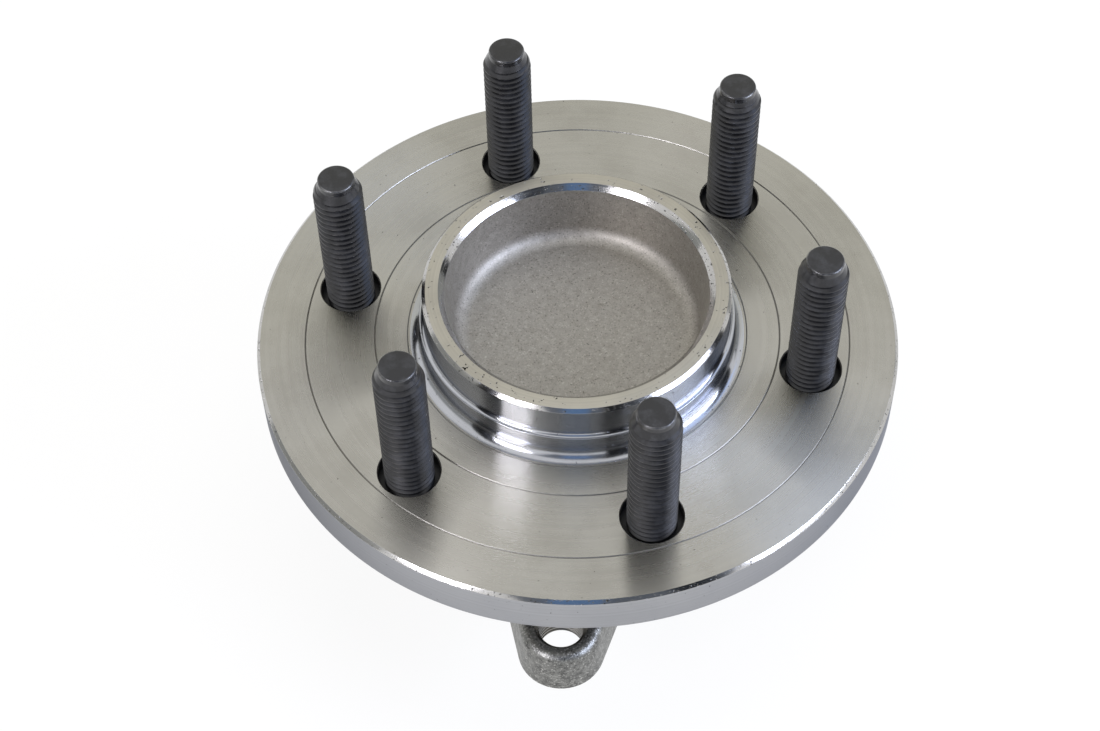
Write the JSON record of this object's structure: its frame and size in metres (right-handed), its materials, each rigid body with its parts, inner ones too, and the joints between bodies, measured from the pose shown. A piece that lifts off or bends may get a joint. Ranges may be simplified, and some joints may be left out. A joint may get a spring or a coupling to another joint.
{
  "type": "wheel hub bearing",
  "caption": "Flanged wheel hub unit, not driven: a studded wheel flange with pilot and blind cup turns on angular-contact balls in a lugged outer ring that bolts to the knuckle.",
  "frame": {"origin": "where the spin axis meets the wheel face of the flange, the centre of the stud circle", "axes": "+Z along the spin axis towards the wheel (outboard); one lug of the outer ring lies on -Y"},
  "size_m": [0.1832, 0.1832, 0.1325],
  "materials": {
    "machined_forging": "turned face, polished pilots, shot-blasted cup",
    "forged_steel": "shot-blasted forging with turned seats",
    "phosphated_steel": "black phosphate, lightly oiled",
    "ground_bearing_steel": "ground and honed",
    "cage_polyamide": "moulded glass-filled polyamide",
    "pressed_steel": "cold-rolled sheet",
    "seal_rubber": "moulded nitrile",
    "stainless_sheet": "deep-drawn stainless sheet",
    "magnet_rubber": "ferrite-filled rubber"
  },
  "bodies": {
    "fixed_ring": {"outer_ring": "forged_steel", "outboard_seal_case": "pressed_steel", "outboard_seal_lips": "seal_rubber", "inboard_seal_case": "pressed_steel", "inboard_seal_lips": "seal_rubber", "end_cap": "stainless_sheet", "end_cap_seal": "seal_rubber"},
    "hub": {"hub_flange": "machined_forging", "wheel_stud_1": "phosphated_steel", "wheel_stud_2": "phosphated_steel", "wheel_stud_3": "phosphated_steel", "wheel_stud_4": "phosphated_steel", "wheel_stud_5": "phosphated_steel", "wheel_stud_6": "phosphated_steel", "inner_ring": "ground_bearing_steel", "inboard_slinger": "stainless_sheet", "encoder_ring": "magnet_rubber"},
    "outboard_row": {"outboard_cage": "cage_polyamide"},
    "inboard_row": {"inboard_cage": "cage_polyamide"},
    "outboard_ball_01": {"outboard_ball_01": "ground_bearing_steel"},
    "outboard_ball_02": {"outboard_ball_02": "ground_bearing_steel"},
    "outboard_ball_03": {"outboard_ball_03": "ground_bearing_steel"},
    "outboard_ball_04": {"outboard_ball_04": "ground_bearing_steel"},
    "outboard_ball_05": {"outboard_ball_05": "ground_bearing_steel"},
    "outboard_ball_06": {"outboard_ball_06": "ground_bearing_steel"},
    "outboard_ball_07": {"outboard_ball_07": "ground_bearing_steel"},
    "outboard_ball_08": {"outboard_ball_08": "ground_bearing_steel"},
    "outboard_ball_09": {"outboard_ball_09": "ground_bearing_steel"},
    "outboard_ball_10": {"outboard_ball_10": "ground_bearing_steel"},
    "outboard_ball_11": {"outboard_ball_11": "ground_bearing_steel"},
    "outboard_ball_12": {"outboard_ball_12": "ground_bearing_steel"},
    "inboard_ball_01": {"inboard_ball_01": "ground_bearing_steel"},
    "inboard_ball_02": {"inboard_ball_02": "ground_bearing_steel"},
    "inboard_ball_03": {"inboard_ball_03": "ground_bearing_steel"},
    "inboard_ball_04": {"inboard_ball_04": "ground_bearing_steel"},
    "inboard_ball_05": {"inboard_ball_05": "ground_bearing_steel"},
    "inboard_ball_06": {"inboard_ball_06": "ground_bearing_steel"},
    "inboard_ball_07": {"inboard_ball_07": "ground_bearing_steel"},
    "inboard_ball_08": {"inboard_ball_08": "ground_bearing_steel"},
    "inboard_ball_09": {"inboard_ball_09": "ground_bearing_steel"},
    "inboard_ball_10": {"inboard_ball_10": "ground_bearing_steel"},
    "inboard_ball_11": {"inboard_ball_11": "ground_bearing_steel"},
    "inboard_ball_12": {"inboard_ball_12": "ground_bearing_steel"}
  },
  "joints": [
    {"name": "hub_spin", "type": "hinge", "parent": "fixed_ring", "child": "hub", "pos_m": [0, 0, -0.04744], "axis": [0, 0, 1], "continuous": true},
    {"name": "outboard_cage_spin", "type": "hinge", "parent": "fixed_ring", "child": "outboard_row", "pos_m": [0, 0, -0.03394], "axis": [0, 0, 1], "continuous": true},
    {"name": "inboard_cage_spin", "type": "hinge", "parent": "fixed_ring", "child": "inboard_row", "pos_m": [0, 0, -0.06094], "axis": [0, 0, 1], "continuous": true},
    {"name": "outboard_ball_01_roll", "type": "hinge", "parent": "outboard_row", "child": "outboard_ball_01", "pos_m": [0.03641, 0, -0.03394], "axis": [0.6428, 0, 0.766], "continuous": true},
    {"name": "outboard_ball_02_roll", "type": "hinge", "parent": "outboard_row", "child": "outboard_ball_02", "pos_m": [0.03153, 0.01821, -0.03394], "axis": [0.5567, 0.3214, 0.766], "continuous": true},
    {"name": "outboard_ball_03_roll", "type": "hinge", "parent": "outboard_row", "child": "outboard_ball_03", "pos_m": [0.01821, 0.03153, -0.03394], "axis": [0.3214, 0.5567, 0.766], "continuous": true},
    {"name": "outboard_ball_04_roll", "type": "hinge", "parent": "outboard_row", "child": "outboard_ball_04", "pos_m": [0, 0.03641, -0.03394], "axis": [0, 0.6428, 0.766], "continuous": true},
    {"name": "outboard_ball_05_roll", "type": "hinge", "parent": "outboard_row", "child": "outboard_ball_05", "pos_m": [-0.01821, 0.03153, -0.03394], "axis": [-0.3214, 0.5567, 0.766], "continuous": true},
    {"name": "outboard_ball_06_roll", "type": "hinge", "parent": "outboard_row", "child": "outboard_ball_06", "pos_m": [-0.03153, 0.01821, -0.03394], "axis": [-0.5567, 0.3214, 0.766], "continuous": true},
    {"name": "outboard_ball_07_roll", "type": "hinge", "parent": "outboard_row", "child": "outboard_ball_07", "pos_m": [-0.03641, 0, -0.03394], "axis": [-0.6428, 0, 0.766], "continuous": true},
    {"name": "outboard_ball_08_roll", "type": "hinge", "parent": "outboard_row", "child": "outboard_ball_08", "pos_m": [-0.03153, -0.01821, -0.03394], "axis": [-0.5567, -0.3214, 0.766], "continuous": true},
    {"name": "outboard_ball_09_roll", "type": "hinge", "parent": "outboard_row", "child": "outboard_ball_09", "pos_m": [-0.01821, -0.03153, -0.03394], "axis": [-0.3214, -0.5567, 0.766], "continuous": true},
    {"name": "outboard_ball_10_roll", "type": "hinge", "parent": "outboard_row", "child": "outboard_ball_10", "pos_m": [0, -0.03641, -0.03394], "axis": [0, -0.6428, 0.766], "continuous": true},
    {"name": "outboard_ball_11_roll", "type": "hinge", "parent": "outboard_row", "child": "outboard_ball_11", "pos_m": [0.01821, -0.03153, -0.03394], "axis": [0.3214, -0.5567, 0.766], "continuous": true},
    {"name": "outboard_ball_12_roll", "type": "hinge", "parent": "outboard_row", "child": "outboard_ball_12", "pos_m": [0.03153, -0.01821, -0.03394], "axis": [0.5567, -0.3214, 0.766], "continuous": true},
    {"name": "inboard_ball_01_roll", "type": "hinge", "parent": "inboard_row", "child": "inboard_ball_01", "pos_m": [0.03641, 0, -0.06094], "axis": [-0.6428, 0, 0.766], "continuous": true},
    {"name": "inboard_ball_02_roll", "type": "hinge", "parent": "inboard_row", "child": "inboard_ball_02", "pos_m": [0.03153, 0.01821, -0.06094], "axis": [-0.5567, -0.3214, 0.766], "continuous": true},
    {"name": "inboard_ball_03_roll", "type": "hinge", "parent": "inboard_row", "child": "inboard_ball_03", "pos_m": [0.01821, 0.03153, -0.06094], "axis": [-0.3214, -0.5567, 0.766], "continuous": true},
    {"name": "inboard_ball_04_roll", "type": "hinge", "parent": "inboard_row", "child": "inboard_ball_04", "pos_m": [0, 0.03641, -0.06094], "axis": [0, -0.6428, 0.766], "continuous": true},
    {"name": "inboard_ball_05_roll", "type": "hinge", "parent": "inboard_row", "child": "inboard_ball_05", "pos_m": [-0.01821, 0.03153, -0.06094], "axis": [0.3214, -0.5567, 0.766], "continuous": true},
    {"name": "inboard_ball_06_roll", "type": "hinge", "parent": "inboard_row", "child": "inboard_ball_06", "pos_m": [-0.03153, 0.01821, -0.06094], "axis": [0.5567, -0.3214, 0.766], "continuous": true},
    {"name": "inboard_ball_07_roll", "type": "hinge", "parent": "inboard_row", "child": "inboard_ball_07", "pos_m": [-0.03641, 0, -0.06094], "axis": [0.6428, 0, 0.766], "continuous": true},
    {"name": "inboard_ball_08_roll", "type": "hinge", "parent": "inboard_row", "child": "inboard_ball_08", "pos_m": [-0.03153, -0.01821, -0.06094], "axis": [0.5567, 0.3214, 0.766], "continuous": true},
    {"name": "inboard_ball_09_roll", "type": "hinge", "parent": "inboard_row", "child": "inboard_ball_09", "pos_m": [-0.01821, -0.03153, -0.06094], "axis": [0.3214, 0.5567, 0.766], "continuous": true},
    {"name": "inboard_ball_10_roll", "type": "hinge", "parent": "inboard_row", "child": "inboard_ball_10", "pos_m": [0, -0.03641, -0.06094], "axis": [0, 0.6428, 0.766], "continuous": true},
    {"name": "inboard_ball_11_roll", "type": "hinge", "parent": "inboard_row", "child": "inboard_ball_11", "pos_m": [0.01821, -0.03153, -0.06094], "axis": [-0.3214, 0.5567, 0.766], "continuous": true},
    {"name": "inboard_ball_12_roll", "type": "hinge", "parent": "inboard_row", "child": "inboard_ball_12", "pos_m": [0.03153, -0.01821, -0.06094], "axis": [-0.5567, 0.3214, 0.766], "continuous": true}
  ],
  "couplings": [
    {"joint": "outboard_cage_spin", "follows": "hub_spin", "ratio": 0.41651},
    {"joint": "inboard_cage_spin", "follows": "hub_spin", "ratio": 0.41651},
    {"joint": "outboard_ball_01_roll", "follows": "hub_spin", "ratio": -2.2297},
    {"joint": "outboard_ball_02_roll", "follows": "hub_spin", "ratio": -2.2297},
    {"joint": "outboard_ball_03_roll", "follows": "hub_spin", "ratio": -2.2297},
    {"joint": "outboard_ball_04_roll", "follows": "hub_spin", "ratio": -2.2297},
    {"joint": "outboard_ball_05_roll", "follows": "hub_spin", "ratio": -2.2297},
    {"joint": "outboard_ball_06_roll", "follows": "hub_spin", "ratio": -2.2297},
    {"joint": "outboard_ball_07_roll", "follows": "hub_spin", "ratio": -2.2297},
    {"joint": "outboard_ball_08_roll", "follows": "hub_spin", "ratio": -2.2297},
    {"joint": "outboard_ball_09_roll", "follows": "hub_spin", "ratio": -2.2297},
    {"joint": "outboard_ball_10_roll", "follows": "hub_spin", "ratio": -2.2297},
    {"joint": "outboard_ball_11_roll", "follows": "hub_spin", "ratio": -2.2297},
    {"joint": "outboard_ball_12_roll", "follows": "hub_spin", "ratio": -2.2297},
    {"joint": "inboard_ball_01_roll", "follows": "hub_spin", "ratio": -2.2297},
    {"joint": "inboard_ball_02_roll", "follows": "hub_spin", "ratio": -2.2297},
    {"joint": "inboard_ball_03_roll", "follows": "hub_spin", "ratio": -2.2297},
    {"joint": "inboard_ball_04_roll", "follows": "hub_spin", "ratio": -2.2297},
    {"joint": "inboard_ball_05_roll", "follows": "hub_spin", "ratio": -2.2297},
    {"joint": "inboard_ball_06_roll", "follows": "hub_spin", "ratio": -2.2297},
    {"joint": "inboard_ball_07_roll", "follows": "hub_spin", "ratio": -2.2297},
    {"joint": "inboard_ball_08_roll", "follows": "hub_spin", "ratio": -2.2297},
    {"joint": "inboard_ball_09_roll", "follows": "hub_spin", "ratio": -2.2297},
    {"joint": "inboard_ball_10_roll", "follows": "hub_spin", "ratio": -2.2297},
    {"joint": "inboard_ball_11_roll", "follows": "hub_spin", "ratio": -2.2297},
    {"joint": "inboard_ball_12_roll", "follows": "hub_spin", "ratio": -2.2297}
  ]
}
